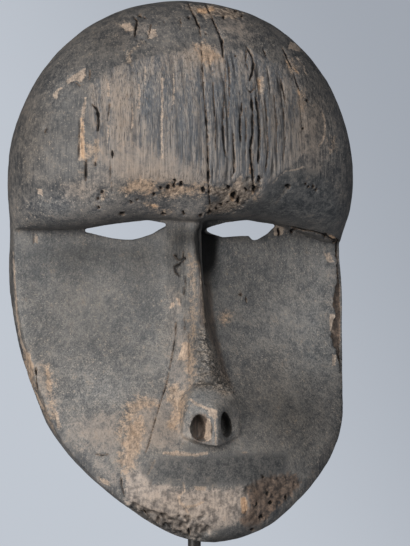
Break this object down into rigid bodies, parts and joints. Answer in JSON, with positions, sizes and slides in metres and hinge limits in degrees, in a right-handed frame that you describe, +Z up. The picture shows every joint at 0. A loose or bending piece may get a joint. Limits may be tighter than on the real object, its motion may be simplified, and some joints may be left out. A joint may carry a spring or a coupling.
{
  "type": "carved wooden monkey mask on a display stand",
  "caption": "Hollow carved wooden monkey mask with an overhanging domed forehead, slit eyes and a jutting muzzle, held upright on a bent steel rod with a foot plate.",
  "frame": {"origin": "centre of the foot plate's underside, on the table, under the rod", "axes": "+Z up, -Y the way the mask faces, +X to the right of someone who looks at the mask"},
  "size_m": [0.1996, 0.12, 0.38],
  "materials": {
    "mask_wood": "aged dark patina, worn to bare tan wood at the edges, semi-matt",
    "stand_steel": "blackened steel, satin"
  },
  "bodies": {
    "root": {"mask": "mask_wood", "stand_rod": "stand_steel", "stand_foot": "stand_steel"}
  },
  "joints": []
}
